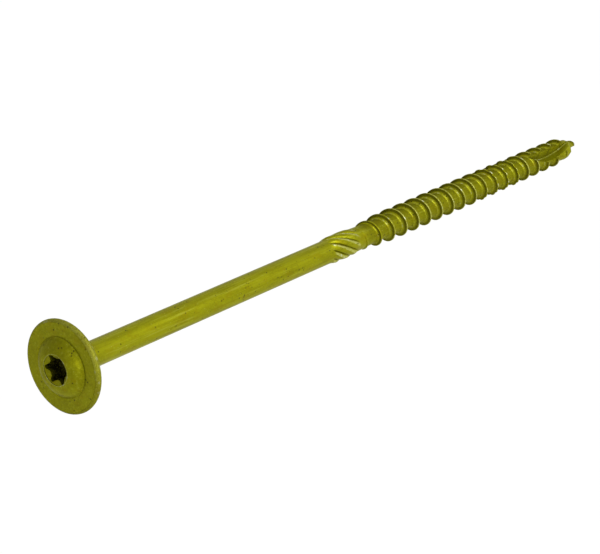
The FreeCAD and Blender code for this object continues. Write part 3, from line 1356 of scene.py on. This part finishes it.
@dataclass(frozen=True)
class OliveCoating:
    """Yellow-olive passivated coating with streaks, pits, pale flecks and scuffs, painted shade, and
    painted highlights mixed with paler wear.
    """

    base: Colour = (0.295, 0.298, 0.005, 1.0)
    deep: Colour = (0.225, 0.222, 0.003, 1.0)
    pale: Colour = (0.4, 0.41, 0.045, 1.0)
    # Paler wear, also the colour of the painted highlights.
    worn_and_highlight: Colour = (0.52, 0.53, 0.14, 1.0)
    pit: Colour = (0.04, 0.034, 0.006, 1.0)
    # Colour of the painted shade.
    painted_shade: Colour = (0.105, 0.1, 0.003, 1.0)
    # Colour of the painted shade in the socket.
    painted_socket_shade: Colour = (0.016, 0.0145, 0.0025, 1.0)
    brown: Colour = (0.25, 0.2, 0.001, 1.0)
    bare: Colour = (0.72, 0.76, 0.5, 1.0)
    sheen: Colour = (0.75, 0.75, 0.4, 1.0)
    metallic: float = 0.42
    roughness: float = 0.36
    gloss: float = 0.06
    cloud: Grain = Grain(0.35, 0.32, 3.0)
    grain: Grain = Grain(1.0, 2.6, 4.0)
    streak: Grain = Grain(0.035, 1.9, 3.0)
    patch: Grain = Grain(0.5, 0.55, 4.0)
    area: Grain = Grain(1.0, 0.5, 1.0)
    pits: Specks = Specks(0.95, 0.24)
    flecks: Specks = Specks(1.7, 0.16)
    scuffs: Specks = Specks(0.7, 0.36)
    deep_cover: float = 0.55
    pale_cover: float = 0.5
    brown_cover: float = 0.45
    # Strengths of the painted highlights mixed with wear and of the crest line, partly wear and partly
    # painted highlight.
    highlight_and_wear_cover: float = 0.8
    crest_wear_and_highlight_cover: float = 0.75
    pit_cover: float = 0.8
    fleck_cover: float = 0.6
    scuff_cover: float = 0.75
    # Strength of the painted shade in the socket.
    socket_shade_cover: float = 0.98
    bump: float = 0.35
    bump_reach: float = 0.00006

    def place(self, tree: ShaderTree, seat: Seat) -> Shade:
        """Turns the place on the object into millimetres along the screw's own axes.

        Args:
            tree: The tree to add to.
            seat: Where the screw lies.

        Returns:
            The place as a vector.
        """
        back = seat.turn.inverted()
        return tree.add("ShaderNodeMapping", None, tree.add("ShaderNodeTexCoord", output="Object"),
                        back.to_translation(), back.to_euler(), back.to_scale())

    def material(self, seat: Seat) -> bpy.types.Material:
        """Makes the material.

        Args:
            seat: Where the screw lies, which turns the patterns along its axis.

        Returns:
            The node material.
        """
        material = bpy.data.materials.new("olive_coating")
        material.use_nodes = True
        tree = ShaderTree(material.node_tree)
        place = self.place(tree, seat)
        crest, socket_shade, shade, highlight_and_wear = (
            tree.add("ShaderNodeAttribute", {"attribute_name": region.value}, output="Fac")
            for region in (Region.CREST, Region.SOCKET_SHADE, Region.SHADE, Region.HIGHLIGHT_AND_WEAR))
        cloud, grain, streak, patch, area, pits, flecks, scuffs = (
            pattern.on(tree, place) for pattern in (
                self.cloud, self.grain, self.streak, self.patch, self.area, self.pits, self.flecks,
                self.scuffs))
        pits = pits * area.between(0.49, 0.57)
        tone = cloud * 0.4 + streak * 0.25 + grain * 0.35
        layers = (
            ((1.0 - streak.between(0.36, 0.47)) * self.deep_cover, self.deep),
            (streak.between(0.56, 0.7) * self.pale_cover, self.pale),
            (patch.between(0.5, 0.68) * self.brown_cover, self.brown),
            # Painted shade in the grooves, between the turns and on the head.
            (shade.between(0.05, 0.95) * (1.3 - grain), self.painted_shade),
            # Painted highlights mixed with paler wear.
            (highlight_and_wear.between(0.1, 1.0) * grain.between(0.3, 0.55) * self.highlight_and_wear_cover, self.worn_and_highlight),
            # Pale crest line, partly edge wear and partly painted highlight.
            (crest.between(0.92, 0.99) * grain.between(0.3, 0.6) * self.crest_wear_and_highlight_cover, self.worn_and_highlight),
            (pits * self.pit_cover, self.pit),
            (flecks * (1.0 - area.between(0.42, 0.5)) * self.fleck_cover, self.worn_and_highlight),
            # Bare scuffs on the crests and where the painted highlights and wear lie.
            (scuffs * (crest.between(0.9, 0.97) + highlight_and_wear * 0.7) * self.scuff_cover, self.bare),
            # Painted shade in the socket, lightened in spots as painted glints.
            (socket_shade * (self.socket_shade_cover - grain.between(0.5, 0.62) * 0.35), self.painted_socket_shade),
        )
        colour = tree.mix(tone.between(0.38, 0.56), self.deep, self.base)
        for cover, finish in layers:
            colour = tree.mix(cover, colour, finish)
        rough = grain * 0.2 + (self.roughness - 0.1) + shade * 0.45
        height = grain * 0.5 + streak * 0.5 - pits * 1.2
        bump = tree.add("ShaderNodeBump", None, Strength=self.bump, Distance=self.bump_reach,
                        Height=height)
        surface = tree.add("ShaderNodeBsdfPrincipled", None, Base_Color=colour, Metallic=self.metallic,
                           Roughness=rough, Specular_IOR_Level=self.gloss,
                           Specular_Tint=self.sheen, Normal=bump)
        tree.end("ShaderNodeOutputMaterial", surface)
        return material


@dataclass(frozen=True)
class Lamp:
    """A square soft lamp that faces the middle of the screw."""

    name: str
    place: tuple[float, float, float]
    size: float
    power: float

    def build(self) -> None:
        """Adds the lamp to the scene."""
        data = bpy.data.lights.new(self.name, "AREA")
        data.shape = "SQUARE"
        data.size = self.size
        data.energy = self.power
        lamp = bpy.data.objects.new(self.name, data)
        lamp.location = self.place
        lamp.rotation_euler = (-Vector(self.place)).to_track_quat("-Z", "Y").to_euler()
        bpy.context.scene.collection.objects.link(lamp)


@dataclass(frozen=True)
class Studio:
    """Pale floor, soft lamps and the camera at the photograph's angle."""

    camera_place: tuple[float, float, float] = (-0.351864, -0.266837, 0.190505)
    camera_down: float = 23.6667
    camera_heading: float = 38.88
    lens: float = 117.277
    sensor: float = 36.0
    nearest: float = 0.01
    farthest: float = 50.0
    floor_size: float = 8.0
    floor_colour: Colour = (0.88, 0.88, 0.88, 1.0)
    floor_glow: float = 0.94
    glow_strength: float = 1.06
    sky: float = 0.095
    lamps: tuple[Lamp, ...] = (
        Lamp("key", (0.2, -0.7, 0.66), 0.45, 5.2),
        Lamp("side", (0.05, -1.0, 0.12), 0.6, 4.4),
        Lamp("glint", (-0.75, -0.55, 0.22), 0.14, 1.15),
    )

    def camera(self) -> None:
        """Makes the camera and gives it to the scene."""
        data = bpy.data.cameras.new("camera")
        data.lens = self.lens
        data.sensor_width = self.sensor
        data.clip_start = self.nearest
        data.clip_end = self.farthest
        camera = bpy.data.objects.new("camera", data)
        camera.location = self.camera_place
        camera.rotation_euler = (math.radians(90.0 - self.camera_down), 0.0,
                                 math.radians(self.camera_heading - 90.0))
        bpy.context.scene.collection.objects.link(camera)
        bpy.context.scene.camera = camera

    def floor(self) -> None:
        """Makes the pale floor, which keeps the screw's shadow."""
        piece = bmesh.new()
        bmesh.ops.create_grid(piece, x_segments=1, y_segments=1, size=self.floor_size / 2.0)
        mesh = bpy.data.meshes.new("floor")
        piece.to_mesh(mesh)
        piece.free()
        floor = bpy.data.objects.new("floor", mesh)
        bpy.context.scene.collection.objects.link(floor)
        material = bpy.data.materials.new("pale_floor")
        material.use_nodes = True
        tree = ShaderTree(material.node_tree)
        matt = tree.add("ShaderNodeBsdfDiffuse", None, Color=self.floor_colour)
        glow = tree.add("ShaderNodeEmission", None, Color=WHITE, Strength=self.glow_strength)
        both = tree.add("ShaderNodeMixShader", None, self.seen(tree) * self.floor_glow, matt, glow)
        tree.end("ShaderNodeOutputMaterial", both)
        mesh.materials.append(material)
        floor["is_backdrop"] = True

    def seen(self, tree: ShaderTree) -> Shade:
        """1 for rays of the camera, of a gloss and of glass, 0 for the light on the object.

        Args:
            tree: The tree to add to.

        Returns:
            The mask.
        """
        rays = [tree.add("ShaderNodeLightPath", output=name)
                for name in ("Is Camera Ray", "Is Glossy Ray", "Is Transmission Ray")]
        return rays[0].math("MAXIMUM", rays[1]).math("MAXIMUM", rays[2])

    def world(self) -> None:
        """Sets the pale surroundings."""
        world = bpy.data.worlds.new("studio")
        world.use_nodes = True
        bpy.context.scene.world = world
        tree = ShaderTree(world.node_tree)
        strength = self.seen(tree) * (1.0 - self.sky) + self.sky
        sky = tree.add("ShaderNodeBackground", None, WHITE, strength)
        tree.end("ShaderNodeOutputWorld", sky)

    def build(self) -> None:
        """Builds the whole studio."""
        bpy.context.scene.view_settings.view_transform = "Standard"
        self.camera()
        self.floor()
        self.world()
        for lamp in self.lamps:
            lamp.build()


def write_boxes(boxes: Iterable[Any]) -> None:
    """Turns the solid's box and the dressed screw's box into plain lists and keeps nothing."""
    [[[float(value) for value in corner] for corner in box] for box in boxes]


def main() -> None:
    """Builds the screw and its studio."""
    logging.basicConfig(level=logging.INFO)
    seat = Seat.from_record(frame["record"])
    coating = OliveCoating().material(seat)
    for maker in (HeadAndShank(), ThreadedEnd()):
        piece = maker.build(seat)
        piece.data.materials.clear()
        piece.data.materials.append(coating)
        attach(piece, "root")
        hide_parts("screw")
        LOG.info("%s: %d faces", piece.name, len(piece.data.polygons))
    Studio().build()
    write_boxes((CAD_BOX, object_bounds()))


if __name__ == "__main__":
    main()
